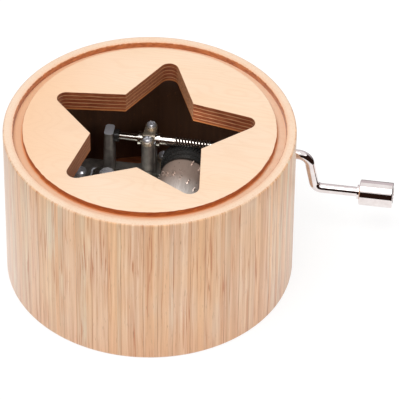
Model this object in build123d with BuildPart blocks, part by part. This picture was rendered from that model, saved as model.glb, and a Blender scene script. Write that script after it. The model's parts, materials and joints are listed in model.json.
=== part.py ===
"""Hand-cranked music box: a round bamboo box with a star window over a pinned-cylinder movement.

Millimetres, +Z up. The origin is the middle of the underside, and +X runs along the crank shaft.
The comb lies along X to the left of the cylinder, and the cylinder's arbor runs along Y.
"""

import os
from math import cos, degrees, hypot, pi, radians, sin

from build123d import *

# ------------------------------------------------------------------ driving dimensions
# Round box, turned from laminated bamboo, with a ply floor and a ply lid
box_diameter = 75.0
box_height = 45.2
box_wall = 2.6
rim_chamfer = 0.35
bore_chamfer = 0.2
glue_gap = 0.05
floor_thickness = 6.0
lid_thickness = 5.8
lid_proud = 0.1
groove_width = 2.4
groove_depth = 1.67
lid_edge_chamfer = 0.25

# Star window in the lid
star_tips = 5
star_margin = 2.4
star_to_front = 0.5
star_notch_radius = 15.15
star_corner_round = 2.4
lid_turn = -2.75

# Crank shaft, worm and wheel
shaft_diameter = 2.5
shaft_to_wall = 12.9
journal_diameter = 2.0
running_gap = 0.04
fit_gap = 0.02
worm_starts = 3
axial_pitch = 0.8
worm_addendum = 0.2
worm_dedendum = 0.27
worm_length = 9.6
worm_shift = 1.2
worm_crest = 0.17
worm_base = 0.47
thread_sink = 0.1
wheel_teeth = 54
wheel_addendum = 0.19
wheel_dedendum = 0.29
wheel_tooth_share = 0.36
flank_taper = 0.62
wheel_width = 2.8
wheel_floor_gap = 1.8

# Shaft bearings, from left to right
end_post_x = -14.4
end_post_width = 2.5
end_post_depth = 4.4
end_post_over_shaft = 1.7
end_post_taper = 1.2
end_post_spread = 0.5
end_post_corner = 1.1
bush_diameter = 2.7
bush_flange_diameter = 3.4
bush_flange = 1.2
bearing_x = -3.7
bearing_width = 3.6
strap_screw_pitch = 6.3
pillar_diameter = 3.2
pillar_over_shaft = 1.0
pillar_overlap = 0.5
strap_thickness = 0.6
collar_diameter = 3.9
collar_width = 0.8
collar_play = 0.3

# Pinned cylinder
drum_x = 6.6
drum_diameter = 12.9
drum_wall = 0.65
pin_diameter = 0.42
pin_height = 0.5
pin_sides = 6
pins_per_note = 4
tune_step = 137.5
tune_shift = 23
track_margin = 0.55
arbor_diameter = 2.0
hub_step_width = 1.2
hub_flange_diameter = 12.6
hub_rim_diameter = 12.0
plug_length = 2.0
front_cap_thickness = 1.6
bearing_boss_diameter = 3.6
bearing_boss = 0.9
end_play = 0.1
lug_thickness = 2.0
lug_width = 6.4
rear_plate_thickness = 1.4
rear_foot_thickness = 1.4
rear_foot_depth = 3.3
rear_screw_left = 7.4
rear_screw_right = 6.6
rear_plate_overhang = 0.5

# Comb
note_count = 18
tooth_pitch = 0.84
tooth_slot = 0.2
comb_thickness = 0.9
tooth_thinning = 0.35
comb_tip_gap = 0.2
comb_pillar_gap = 0.2
comb_heel = 8.0
longest_tooth = 9.2
shortest_tooth = 6.4
comb_screw_pitch = 9.4
comb_heel_corner = 1.2
tooth_root_land = 0.6
thick_tip_length = 1.8
weighted_notes = 7
weight_setback = 0.6
weight_drop = 1.2

# Bedplate
bedplate_height = 5.1
plate_thickness = 1.8
skirt_wall = 1.5
bedplate_corner = 1.4
bedplate_margin = 0.8
bedplate_cut = 4.2
window_side_gap = 0.35
ear_inset_left = 7.5
ear_inset_right = 17.0
ear_margin = 3.2
ear_margin_right = 2.2
ear_boss_wall = 0.7
rear_ear_from_shaft = 3.1
front_ear_from_comb = 0.8
platform_margin = 0.6
platform_corner = 0.8

# Screws
screw_gap = 0.03
strap_screw = {"head": 2.4, "head_height": 1.0, "shank": 1.5, "length": 4.6}
comb_screw = {"head": 4.0, "head_height": 1.4, "shank": 2.0, "length": 3.4}
plate_screw = {"head": 2.6, "head_height": 1.1, "shank": 1.6, "length": 3.8}
wood_screw = {"head": 3.4, "head_height": 1.2, "shank": 2.2, "length": 9.0}
slot_width = 0.4
slot_depth_share = 0.45
cross_share = 0.55
head_chamfer_share = 0.35
point_share = 0.9
point_taper = 24
washer_thickness = 0.4
washer_diameter = 3.1

# Crank handle
wire_diameter = 2.6
wall_hole_diameter = 4.4
coupling_x = 15.0
coupling_length = 6.5
coupling_diameter = 4.4
socket_depth = 5.5
coupling_chamfer = 0.3
arm_standoff = 1.05
crank_throw = 10.7
arm_splay = 2.1
upper_bend = 3.2
lower_bend = 2.2
grip_length = 11.9
knob_diameter = 6.8
knob_length = 8.9
knob_edge_round = 0.35
knob_bore_gap = 0.06
rivet_head_diameter = 4.0
rivet_head = 0.7
rivet_recess = 1.0
rivet_chamfer = 0.2
stop_ring_diameter = 3.8
stop_ring_width = 0.5
stop_ring_gap = 0.1

# ------------------------------------------------------------------ worked-out sizes
box_radius = box_diameter / 2
bore_radius = box_radius - box_wall
disc_radius = bore_radius - glue_gap
island_radius = bore_radius - groove_width
lid_top = box_height + lid_proud
lid_bottom = lid_top - lid_thickness
star_tip_radius = island_radius - star_margin

shaft_radius = shaft_diameter / 2
journal_radius = journal_diameter / 2
worm_outer = shaft_radius - fit_gap
worm_pitch_radius = worm_outer - worm_addendum
worm_root = worm_pitch_radius - worm_dedendum
worm_lead = worm_starts * axial_pitch
wheel_pitch_radius = wheel_teeth * axial_pitch / (2 * pi)
wheel_outer = wheel_pitch_radius + wheel_addendum
wheel_root = wheel_pitch_radius - wheel_dedendum

drum_z = floor_thickness + wheel_floor_gap + wheel_outer
shaft_z = drum_z + wheel_pitch_radius + worm_pitch_radius
shaft_y = bore_radius - shaft_to_wall

pillar_radius = pillar_diameter / 2
pillar_y = [shaft_y - strap_screw_pitch / 2, shaft_y + strap_screw_pitch / 2]
pillar_top = shaft_z + pillar_over_shaft
strap_top = pillar_top + strap_thickness
washer_top = strap_top + washer_thickness

wheel_front = shaft_y - wheel_width / 2
wheel_rear = shaft_y + wheel_width / 2
comb_width = note_count * tooth_pitch
comb_rear = pillar_y[0] - pillar_radius - comb_pillar_gap
comb_front = comb_rear - comb_width
drum_rear = comb_rear + track_margin
drum_front = comb_front - track_margin
drum_radius = drum_diameter / 2
drum_bore = drum_radius - drum_wall
pin_root_radius = drum_radius - drum_wall / 2
pin_tip_radius = drum_radius + pin_height
arbor_radius = arbor_diameter / 2
front_lug_rear = drum_front - bearing_boss - end_play
front_lug_front = front_lug_rear - lug_thickness
rear_plate_front = wheel_rear + bearing_boss + end_play
rear_plate_rear = rear_plate_front + rear_plate_thickness

comb_tip_x = drum_x - pin_tip_radius - comb_tip_gap
comb_root_x = comb_tip_x - longest_tooth
comb_back_x = comb_root_x - comb_heel
comb_bottom = drum_z - comb_thickness / 2
comb_top = comb_bottom + comb_thickness

plate_top = floor_thickness + bedplate_height
plate_underside = plate_top - plate_thickness
screw_margin = wood_screw["head"] / 2 + screw_gap
ear_x = [end_post_x - ear_inset_left, end_post_x - ear_inset_left, ear_inset_right]
ear_y = [shaft_y - rear_ear_from_shaft, comb_front - front_ear_from_comb, (comb_front + comb_rear) / 2]
rear_screw_y = rear_plate_rear + rear_foot_depth / 2
rear_screw_x = [drum_x - rear_screw_left, drum_x + rear_screw_right]
comb_screw_x = comb_root_x - comb_heel / 2
comb_screw_y = [comb_front + comb_width / 2 + s * comb_screw_pitch / 2 for s in (-1, 1)]

wire_radius = wire_diameter / 2
arm_x = box_radius + arm_standoff
grip_z = shaft_z - crank_throw
wire_start_x = coupling_x + coupling_length - socket_depth
knob_x = arm_x + arm_splay + grip_length
knob_end_x = knob_x + knob_length


def crank_line(x, turn=0):
    """Plane across the crank shaft at x, facing +X, with its own x turned by turn degrees from +Y."""
    across = (0, cos(radians(turn)), sin(radians(turn)))
    return Plane(origin=(x, shaft_y, shaft_z), x_dir=across, z_dir=(1, 0, 0))


def grip_line(x):
    """Plane across the crank's grip at x, facing +X."""
    return Plane(origin=(x, shaft_y, grip_z), x_dir=(0, 1, 0), z_dir=(1, 0, 0))


def drum_line(y):
    """Plane across the cylinder's arbor at y, facing +Y, with its own x along +Z and y along +X."""
    return Plane(origin=(drum_x, y, drum_z), x_dir=(0, 0, 1), z_dir=(0, 1, 0))


def finish(builder, name):
    """Labels a finished sub-part and writes its STEP file."""
    builder.part.label = name
    export_step(builder.part, f"parts/{name}.step")


os.makedirs("parts", exist_ok=True)

# ------------------------------------------------------------------ box: tube, floor, lid
with BuildPart() as body_tube:
    with BuildSketch():
        Circle(box_radius)
        Circle(bore_radius, mode=Mode.SUBTRACT)
    extrude(amount=box_height)
    outer_rims = body_tube.edges().filter_by(GeomType.CIRCLE).group_by(SortBy.RADIUS)[-1]
    chamfer(outer_rims, rim_chamfer)
    bore_rim = body_tube.edges().filter_by(GeomType.CIRCLE).group_by(Axis.Z)[-1].sort_by(SortBy.RADIUS)[0]
    chamfer(bore_rim, bore_chamfer)
    with BuildSketch(crank_line(0)):
        Circle(wall_hole_diameter / 2)
    extrude(amount=box_radius, mode=Mode.SUBTRACT)
finish(body_tube, "body_tube")

with BuildPart() as floor_disc:
    with BuildSketch():
        Circle(disc_radius)
    extrude(amount=floor_thickness)
    with Locations(*[(x, y, floor_thickness) for x, y in zip(ear_x, ear_y)]):
        Hole(
            wood_screw["shank"] / 2 + fit_gap,
            depth=wood_screw["length"] - bedplate_height + fit_gap,
        )
finish(floor_disc, "floor_disc")


def star_corners():
    """Corners of the star, tip and notch in turn, turned with the lid."""
    step = 180 / star_tips
    corners = []
    for k in range(2 * star_tips):
        radius = star_tip_radius if k % 2 == 0 else star_notch_radius
        angle = radians(90 + lid_turn + k * step)
        corners.append((radius * cos(angle), radius * sin(angle) - star_to_front))
    return corners


with BuildPart() as lid:
    with BuildSketch(Plane.XY.offset(lid_bottom)):
        Circle(disc_radius)
    extrude(amount=lid_thickness - groove_depth)
    with BuildSketch(Plane.XY.offset(lid_top - groove_depth)):
        Circle(island_radius)
    extrude(amount=groove_depth)
    chamfer(lid.faces().sort_by(Axis.Z)[-1].outer_wire().edges(), lid_edge_chamfer)
    with BuildSketch(Plane.XY.offset(lid_bottom)) as star_window:
        with BuildLine():
            Polyline(*star_corners(), close=True)
        make_face()
        tips = star_window.vertices().filter_by(
            lambda v: hypot(v.X, v.Y) > (star_tip_radius + star_notch_radius) / 2
        )
        fillet(tips, star_corner_round)
    extrude(amount=lid_thickness, mode=Mode.SUBTRACT)
finish(lid, "lid")

# ------------------------------------------------------------------ bedplate casting
left_edge = ear_x[0] - ear_margin
right_edge = ear_x[2] + ear_margin_right
rear_edge = rear_plate_rear + rear_foot_depth
post_rear_edge = shaft_y + end_post_depth / 2 + bedplate_margin
bearing_left_edge = bearing_x - pillar_radius - bedplate_margin
bedplate_corners = [
    (left_edge, front_lug_front - bedplate_margin),
    (right_edge, front_lug_front - bedplate_margin),
    (right_edge, wheel_rear - bedplate_margin),
    (rear_screw_x[1] + rear_foot_depth / 2, rear_edge),
    (bearing_left_edge, rear_edge),
    (bearing_left_edge, post_rear_edge),
    (left_edge + bedplate_cut, post_rear_edge),
    (left_edge, post_rear_edge - bedplate_cut),
]

with BuildPart() as chassis:
    with BuildSketch(Plane.XY.offset(floor_thickness)) as bedplate_outline:
        with BuildLine():
            Polyline(*bedplate_corners, close=True)
        make_face()
        fillet(bedplate_outline.vertices(), bedplate_corner)
    extrude(amount=bedplate_height)
    with BuildSketch(Plane.XY.offset(floor_thickness)):
        offset(bedplate_outline.sketch_local, amount=-skirt_wall)
    extrude(amount=bedplate_height - plate_thickness, mode=Mode.SUBTRACT)
    with BuildSketch(Plane.XY.offset(floor_thickness)):
        with Locations(*zip(ear_x, ear_y)):
            Circle(screw_margin + ear_boss_wall)
    extrude(amount=bedplate_height)
    # Window that the cylinder and its wheel turn in
    with BuildSketch(Plane.XY.offset(floor_thickness)):
        with Locations((drum_x, (front_lug_rear + rear_plate_front) / 2)):
            Rectangle(
                2 * (wheel_outer + window_side_gap),
                rear_plate_front - front_lug_rear - 2 * window_side_gap,
            )
    extrude(amount=bedplate_height, mode=Mode.SUBTRACT)
    with Locations(*[(x, y, plate_top) for x, y in zip(ear_x, ear_y)]):
        Hole(wood_screw["shank"] / 2 + screw_gap, depth=bedplate_height)
    # Platform under the comb's heel
    with BuildSketch(Plane.XY.offset(plate_top)) as comb_platform:
        with Locations((comb_screw_x - platform_margin / 2, (comb_front + comb_rear) / 2)):
            RectangleRounded(comb_heel + platform_margin, comb_width + 2 * platform_margin, platform_corner)
    extrude(amount=comb_bottom - plate_top)
    with Locations(*[(comb_screw_x, y, comb_bottom) for y in comb_screw_y]):
        Hole(comb_screw["shank"] / 2 + screw_gap, depth=comb_screw["length"])
    # Post at the shaft's left end
    with BuildSketch(Plane.XY.offset(plate_top)):
        with Locations((end_post_x, shaft_y)):
            RectangleRounded(
                end_post_width + end_post_spread,
                end_post_depth + end_post_spread,
                end_post_corner,
            )
    extrude(amount=shaft_z + end_post_over_shaft - plate_top, taper=end_post_taper)
    with BuildSketch(crank_line(end_post_x - end_post_width)):
        Circle(bush_diameter / 2 + fit_gap)
    extrude(amount=2 * end_post_width, mode=Mode.SUBTRACT)
    # Two pillars and the half bearing between them
    with BuildSketch(Plane.XY.offset(plate_top)):
        with Locations(*[(bearing_x, y) for y in pillar_y]):
            Circle(pillar_radius)
    extrude(amount=pillar_top - plate_top)
    with BuildSketch(Plane.XY.offset(plate_top)):
        with Locations((bearing_x, shaft_y)):
            Rectangle(bearing_width, strap_screw_pitch - pillar_diameter + 2 * pillar_overlap)
    extrude(amount=shaft_z - plate_top)
    with BuildSketch(crank_line(bearing_x - bearing_width)):
        Circle(shaft_radius + running_gap)
    extrude(amount=2 * bearing_width, mode=Mode.SUBTRACT)
    with Locations(*[(bearing_x, y, pillar_top) for y in pillar_y]):
        Hole(strap_screw["shank"] / 2 + screw_gap, depth=strap_screw["length"])
    # Upright that carries the front of the arbor
    with BuildSketch(Plane.XZ.offset(-front_lug_front)):
        with Locations((drum_x, (plate_top + drum_z) / 2)):
            Rectangle(lug_width, drum_z - plate_top)
        with Locations((drum_x, drum_z)):
            Circle(lug_width / 2)
            Circle(arbor_radius + running_gap, mode=Mode.SUBTRACT)
    extrude(amount=-lug_thickness)
    with Locations(*[(x, rear_screw_y, plate_top) for x in rear_screw_x]):
        Hole(plate_screw["shank"] / 2 + screw_gap, depth=plate_screw["length"] - rear_foot_thickness)
finish(chassis, "chassis")

# ------------------------------------------------------------------ shaft bearings
post_half = (end_post_width + end_post_spread) / 2
with BuildPart() as shaft_end_bush:
    with BuildSketch(crank_line(end_post_x - end_post_width / 2)):
        Circle(bush_diameter / 2)
    extrude(amount=end_post_width / 2 + post_half)
    with BuildSketch(crank_line(end_post_x + post_half)):
        Circle(bush_flange_diameter / 2)
    extrude(amount=bush_flange)
    with BuildSketch(crank_line(end_post_x - end_post_width)):
        Circle(journal_radius + running_gap)
    extrude(amount=2 * end_post_width + 2 * bush_flange, mode=Mode.SUBTRACT)
finish(shaft_end_bush, "shaft_end_bush")

strap_inner = shaft_radius + running_gap
strap_outer = strap_inner + strap_thickness
with BuildPart() as bearing_strap:
    with BuildSketch(Plane.XY.offset(pillar_top)):
        with Locations((bearing_x, shaft_y)):
            SlotCenterToCenter(strap_screw_pitch, pillar_diameter, rotation=90)
    extrude(amount=strap_thickness)
    with BuildSketch(crank_line(bearing_x - pillar_radius)):
        Circle(strap_outer)
        with Locations((0, pillar_over_shaft - strap_outer)):
            Rectangle(2 * strap_outer, 2 * strap_outer, mode=Mode.SUBTRACT)
    extrude(amount=pillar_diameter)
    with BuildSketch(crank_line(bearing_x - pillar_diameter)):
        Circle(strap_inner)
    extrude(amount=2 * pillar_diameter, mode=Mode.SUBTRACT)
    with Locations(*[(bearing_x, y, strap_top) for y in pillar_y]):
        Hole(strap_screw["shank"] / 2 + screw_gap, depth=strap_thickness)
finish(bearing_strap, "bearing_strap")

with BuildPart() as strap_washers:
    with BuildSketch(Plane.XY.offset(strap_top)):
        with Locations(*[(bearing_x, y) for y in pillar_y]):
            Circle(washer_diameter / 2)
            Circle(strap_screw["shank"] / 2 + screw_gap, mode=Mode.SUBTRACT)
    extrude(amount=washer_thickness)
finish(strap_washers, "strap_washers")


# ------------------------------------------------------------------ screws
def screws(places, seat_z, size, cross=False, pointed=False):
    """Screws with chamfered, slotted heads at the places, standing on seat_z with their shanks down."""
    straight = size["length"] - size["shank"] if pointed else size["length"]
    slot_length = cross_share * size["head"] if cross else 2 * size["head"]
    with BuildPart() as made:
        with BuildSketch(Plane.XY.offset(seat_z)):
            with Locations(*places):
                Circle(size["head"] / 2)
        extrude(amount=size["head_height"])
        head_rims = made.edges().filter_by(GeomType.CIRCLE).group_by(Axis.Z)[-1]
        chamfer(head_rims, head_chamfer_share * size["head_height"])
        with BuildSketch(Plane.XY.offset(seat_z)):
            with Locations(*places):
                Circle(size["shank"] / 2)
        extrude(amount=-straight)
        if pointed:
            with BuildSketch(Plane.XY.offset(seat_z - straight)):
                with Locations(*places):
                    Circle(size["shank"] / 2)
            extrude(amount=-point_share * size["shank"], taper=point_taper)
        with BuildSketch(Plane.XY.offset(seat_z + size["head_height"])):
            with Locations(*places):
                Rectangle(slot_length, slot_width)
                if cross:
                    Rectangle(slot_width, slot_length)
        extrude(amount=-slot_depth_share * size["head_height"], mode=Mode.SUBTRACT)
    return made


strap_screws = screws([(bearing_x, y) for y in pillar_y], washer_top, strap_screw, cross=True)
finish(strap_screws, "strap_screws")

comb_screws = screws([(comb_screw_x, y) for y in comb_screw_y], comb_top, comb_screw)
finish(comb_screws, "comb_screws")

rear_plate_screws = screws(
    [(x, rear_screw_y) for x in rear_screw_x],
    plate_top + rear_foot_thickness,
    plate_screw,
    cross=True,
)
finish(rear_plate_screws, "rear_plate_screws")

movement_screws = screws(list(zip(ear_x, ear_y)), plate_top, wood_screw, cross=True, pointed=True)
finish(movement_screws, "movement_screws")

# ------------------------------------------------------------------ comb with its weights
tooth_y = [comb_front + (k + 0.5) * tooth_pitch for k in range(note_count)]
root_drop = (longest_tooth - shortest_tooth) / (note_count - 1)

with BuildPart() as comb:
    with BuildSketch(Plane.XY.offset(comb_bottom)):
        with BuildLine():
            Polyline(
                (comb_tip_x, comb_front),
                (comb_tip_x, comb_rear),
                (comb_back_x + comb_heel_corner, comb_rear),
                (comb_back_x, comb_rear - comb_heel_corner),
                (comb_back_x, comb_front + comb_heel_corner),
                (comb_back_x + comb_heel_corner, comb_front),
                close=True,
            )
        make_face()
        for k in range(1, note_count):
            length = longest_tooth - (k - 0.5) * root_drop
            with Locations((comb_tip_x - length / 2, comb_front + k * tooth_pitch)):
                Rectangle(length, tooth_slot, mode=Mode.SUBTRACT)
    extrude(amount=comb_thickness)
    # The teeth are ground thinner from below, between their roots and their tips
    with BuildSketch(Plane.XY.offset(comb_bottom)):
        with BuildLine():
            Polyline(
                (comb_tip_x - thick_tip_length, comb_front - tooth_pitch),
                (comb_tip_x - thick_tip_length, comb_rear + tooth_pitch),
                (comb_tip_x - shortest_tooth + tooth_root_land, comb_rear + tooth_pitch),
                (comb_tip_x - longest_tooth + tooth_root_land, comb_front - tooth_pitch),
                close=True,
            )
        make_face()
    extrude(amount=tooth_thinning, mode=Mode.SUBTRACT)
    with Locations(*[(comb_screw_x, y, comb_top) for y in comb_screw_y]):
        Hole(comb_screw["shank"] / 2 + screw_gap, depth=comb_thickness)
finish(comb, "comb")

weight_x = comb_tip_x - (thick_tip_length + weight_setback) / 2
with BuildPart() as comb_weights:
    with BuildSketch(Plane.XY.offset(comb_bottom)):
        with Locations(*[(weight_x, y) for y in tooth_y[:weighted_notes]]):
            Rectangle(thick_tip_length - weight_setback, tooth_pitch - tooth_slot)
    extrude(amount=-weight_drop)
finish(comb_weights, "comb_weights")

# ------------------------------------------------------------------ rear bearing plate
with BuildPart() as rear_bearing_plate:
    with BuildSketch(Plane.XZ.offset(-rear_plate_front)):
        with BuildLine():
            Polyline(
                (rear_screw_x[0] - rear_plate_overhang, plate_top),
                (rear_screw_x[1] + rear_plate_overhang, plate_top),
                (rear_screw_x[1] + rear_plate_overhang, plate_top + rear_foot_thickness),
                (drum_x + lug_width / 2, drum_z),
                (drum_x - lug_width / 2, drum_z),
                (rear_screw_x[0] - rear_plate_overhang, plate_top + rear_foot_thickness),
                close=True,
            )
        make_face()
        with Locations((drum_x, drum_z)):
            Circle(lug_width / 2)
            Circle(arbor_radius + running_gap, mode=Mode.SUBTRACT)
    extrude(amount=-rear_plate_thickness)
    with BuildSketch(Plane.XY.offset(plate_top)):
        foot_mid = (rear_screw_x[0] + rear_screw_x[1]) / 2
        with Locations((foot_mid, rear_screw_y)):
            SlotCenterToCenter(rear_screw_x[1] - rear_screw_x[0], rear_foot_depth)
        with Locations((foot_mid, rear_screw_y - rear_foot_depth / 4)):
            Rectangle(rear_screw_x[1] - rear_screw_x[0], rear_foot_depth / 2)
    extrude(amount=rear_foot_thickness)
    with Locations(*[(x, rear_screw_y, plate_top + rear_foot_thickness) for x in rear_screw_x]):
        Hole(plate_screw["shank"] / 2 + screw_gap, depth=rear_foot_thickness)
finish(rear_bearing_plate, "rear_bearing_plate")

# ------------------------------------------------------------------ pinned cylinder
with BuildPart() as drum_cylinder:
    with BuildSketch(drum_line(drum_front)):
        Circle(drum_radius)
        Circle(drum_bore, mode=Mode.SUBTRACT)
    extrude(amount=drum_rear - drum_front)
    # A made-up tune: each note's pins are spread round the cylinder and shifted from note to note
    for k, y in enumerate(tooth_y):
        for n in range(pins_per_note):
            turn = 360 * n / pins_per_note + tune_step * k + tune_shift * ((3 * k + 5 * n) % 4)
            out_x = sin(radians(turn))
            out_z = cos(radians(turn))
            root = (drum_x + out_x * pin_root_radius, y, drum_z + out_z * pin_root_radius)
            with BuildSketch(Plane(origin=root, x_dir=(0, 1, 0), z_dir=(out_x, 0, out_z))):
                RegularPolygon(pin_diameter / 2, pin_sides)
    extrude(amount=pin_tip_radius - pin_root_radius)
finish(drum_cylinder, "drum_cylinder")

with BuildPart() as drum_end_cap:
    with BuildSketch(drum_line(drum_front - bearing_boss)):
        Circle(bearing_boss_diameter / 2)
    extrude(amount=bearing_boss)
    with BuildSketch(drum_line(drum_front)):
        Circle(drum_bore - fit_gap)
    extrude(amount=front_cap_thickness)
    with BuildSketch(drum_line(drum_front - bearing_boss)):
        Circle(arbor_radius + fit_gap)
    extrude(amount=bearing_boss + front_cap_thickness, mode=Mode.SUBTRACT)
finish(drum_end_cap, "drum_end_cap")


def wheel_profile(turn):
    """Outline of the wheel's teeth across its arbor, a gap centred at the top and then turned by turn degrees."""
    step = 360 / wheel_teeth
    crest = step * wheel_tooth_share / 2 * flank_taper
    foot = step * (1 - wheel_tooth_share) / 2 * flank_taper
    points = []
    for k in range(wheel_teeth):
        centre = (k + 0.5) * step + turn
        for radius, angle in (
            (wheel_root, centre - step / 2 + foot),
            (wheel_outer, centre - crest),
            (wheel_outer, centre + crest),
            (wheel_root, centre + step / 2 - foot),
        ):
            points.append((radius * cos(radians(angle)), radius * sin(radians(angle))))
    return points


# The teeth lean with the worm's thread, so their outline turns steadily from the front face to the rear one
lean = worm_lead / (2 * pi * worm_pitch_radius)
wheel_twist = degrees(lean * wheel_width / wheel_pitch_radius)
with BuildSketch(drum_line(wheel_front)) as wheel_outline:
    with BuildLine():
        Polyline(*wheel_profile(-wheel_twist / 2), close=True)
    make_face()
toothed_rim = Solid.extrude_linear_with_rotation(
    section=wheel_outline.sketch.face(),
    center=(drum_x, wheel_front, drum_z),
    normal=(0, wheel_width, 0),
    angle=wheel_twist,
)
with BuildPart() as worm_wheel:
    add(toothed_rim)
    for y, end, radius in (
        (drum_rear - plug_length, drum_rear, drum_bore - fit_gap),
        (drum_rear, wheel_front - hub_step_width, hub_rim_diameter / 2),
        (wheel_front - hub_step_width, wheel_front, hub_flange_diameter / 2),
        (wheel_rear, wheel_rear + bearing_boss, bearing_boss_diameter / 2),
    ):
        with BuildSketch(drum_line(y)):
            Circle(radius)
        extrude(amount=end - y)
    with BuildSketch(drum_line(drum_rear - plug_length)):
        Circle(arbor_radius + fit_gap)
    extrude(amount=rear_plate_front - drum_rear + plug_length, mode=Mode.SUBTRACT)
finish(worm_wheel, "worm_wheel")

with BuildPart() as drum_arbor:
    with BuildSketch(drum_line(front_lug_front)):
        Circle(arbor_radius)
    extrude(amount=rear_plate_rear - front_lug_front)
finish(drum_arbor, "drum_arbor")


# ------------------------------------------------------------------ worm shaft
worm_start = drum_x - worm_length / 2 + worm_shift
worm_end = worm_start + worm_length
collar_left = bearing_x - bearing_width / 2 - collar_play - collar_width
collar_right = bearing_x + bearing_width / 2 + collar_play
# Each thread starts and ends inside the plain shaft, and one thread points straight down over the wheel
thread_start = worm_start - worm_base
thread_length = worm_length + 2 * worm_base
thread_turn = -90 - 360 * (drum_x - thread_start) / worm_lead
thread_foot = worm_root - thread_sink
foot_width = worm_base + (worm_base - worm_crest) * thread_sink / (worm_outer - worm_root)
# The shaft is made standing upright, with the threads' start at the origin, and laid on its line at the end
with BuildPart() as thread:
    with BuildLine() as thread_helix:
        Helix(pitch=worm_lead, height=thread_length, radius=worm_root)
    with BuildSketch(Plane.XZ):
        with BuildLine():
            Polyline(
                (thread_foot, -foot_width / 2),
                (worm_outer, -worm_crest / 2),
                (worm_outer, worm_crest / 2),
                (thread_foot, foot_width / 2),
                close=True,
            )
        make_face()
    sweep(path=thread_helix.line, is_frenet=True)
with BuildPart() as upright_shaft:
    with BuildSketch():
        Circle(worm_root)
    extrude(amount=thread_length)
    for place in PolarLocations(0, worm_starts):
        with Locations(place):
            add(thread.part)
    for start, end, radius in (
        (end_post_x - end_post_width / 2, collar_left, journal_radius),
        (collar_left, worm_start, shaft_radius),
        (worm_end, coupling_x, shaft_radius),
        (coupling_x, coupling_x + coupling_length, coupling_diameter / 2),
    ):
        with BuildSketch(Plane.XY.offset(start - thread_start)):
            Circle(radius)
        extrude(amount=end - start)
    coupling_ends = upright_shaft.edges().filter_by(GeomType.CIRCLE).group_by(SortBy.RADIUS)[-1]
    chamfer(coupling_ends, coupling_chamfer)
    with BuildSketch(Plane.XY.offset(wire_start_x - thread_start)):
        Circle(wire_radius + fit_gap)
    extrude(amount=socket_depth, mode=Mode.SUBTRACT)
with BuildPart() as worm_shaft:
    with Locations(crank_line(thread_start, thread_turn)):
        add(upright_shaft.part)
finish(worm_shaft, "worm_shaft")

with BuildPart() as thrust_collars:
    for x in (collar_left, collar_right):
        with BuildSketch(crank_line(x)):
            Circle(collar_diameter / 2)
            Circle(shaft_radius + fit_gap, mode=Mode.SUBTRACT)
        extrude(amount=collar_width)
finish(thrust_collars, "thrust_collars")

# ------------------------------------------------------------------ crank handle and knob
wire_end_x = knob_end_x - rivet_recess
with BuildPart() as crank_wire:
    with BuildLine() as wire_path:
        FilletPolyline(
            (wire_start_x, shaft_y, shaft_z),
            (arm_x, shaft_y, shaft_z),
            (arm_x + arm_splay, shaft_y, grip_z),
            (wire_end_x, shaft_y, grip_z),
            radius=[upper_bend, lower_bend],
        )
    with BuildSketch(crank_line(wire_start_x)):
        Circle(wire_radius)
    sweep(path=wire_path.line)
    with BuildSketch(grip_line(wire_end_x)):
        Circle(rivet_head_diameter / 2)
    extrude(amount=rivet_head)
    chamfer(crank_wire.faces().sort_by(Axis.X)[-1].edges(), rivet_chamfer)
finish(crank_wire, "crank_wire")

with BuildPart() as knob_stop_ring:
    with BuildSketch(grip_line(knob_x - stop_ring_gap - stop_ring_width)):
        Circle(stop_ring_diameter / 2)
        Circle(wire_radius + fit_gap, mode=Mode.SUBTRACT)
    extrude(amount=stop_ring_width)
finish(knob_stop_ring, "knob_stop_ring")

with BuildPart() as knob:
    with BuildSketch(grip_line(knob_x)):
        Circle(knob_diameter / 2)
    extrude(amount=knob_length)
    fillet(knob.edges().filter_by(GeomType.CIRCLE), knob_edge_round)
    with BuildSketch(grip_line(knob_x)):
        Circle(wire_radius + knob_bore_gap)
    extrude(amount=knob_length, mode=Mode.SUBTRACT)
    with BuildSketch(grip_line(knob_end_x - rivet_recess - knob_bore_gap)):
        Circle(rivet_head_diameter / 2 + 2 * knob_bore_gap)
    extrude(amount=knob_length, mode=Mode.SUBTRACT)
finish(knob, "knob")
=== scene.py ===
"""Round bamboo music box with a star window and a hand crank: surfaces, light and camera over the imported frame."""

import json
import math

import bmesh
import bpy
from mathutils import Matrix, Quaternion, Vector, noise


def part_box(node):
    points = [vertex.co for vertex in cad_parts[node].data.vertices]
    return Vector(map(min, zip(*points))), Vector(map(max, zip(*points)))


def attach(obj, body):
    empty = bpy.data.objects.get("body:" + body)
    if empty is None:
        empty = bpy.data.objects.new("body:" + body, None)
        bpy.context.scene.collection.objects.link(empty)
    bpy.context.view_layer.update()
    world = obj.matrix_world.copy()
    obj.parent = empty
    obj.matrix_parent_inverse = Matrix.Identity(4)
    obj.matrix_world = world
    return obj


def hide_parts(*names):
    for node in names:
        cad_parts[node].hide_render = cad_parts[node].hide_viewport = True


MM = 0.001

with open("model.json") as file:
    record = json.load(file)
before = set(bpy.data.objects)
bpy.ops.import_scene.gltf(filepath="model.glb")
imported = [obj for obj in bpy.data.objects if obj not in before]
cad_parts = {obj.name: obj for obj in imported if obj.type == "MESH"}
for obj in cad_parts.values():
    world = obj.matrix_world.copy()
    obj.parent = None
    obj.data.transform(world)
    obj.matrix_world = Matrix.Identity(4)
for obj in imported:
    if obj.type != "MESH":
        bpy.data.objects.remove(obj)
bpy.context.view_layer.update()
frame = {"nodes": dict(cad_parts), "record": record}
nodes = frame["nodes"]

# ------------------------------------------------------------------ sizes, in millimetres
tube_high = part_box("body_tube")[1] / MM
lid_low, lid_high = (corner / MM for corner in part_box("lid"))
shaft_low, shaft_high = (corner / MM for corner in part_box("worm_shaft"))
cap_low, cap_high = (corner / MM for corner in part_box("drum_end_cap"))
drum_rear = (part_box("drum_cylinder")[1] / MM).y

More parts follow.
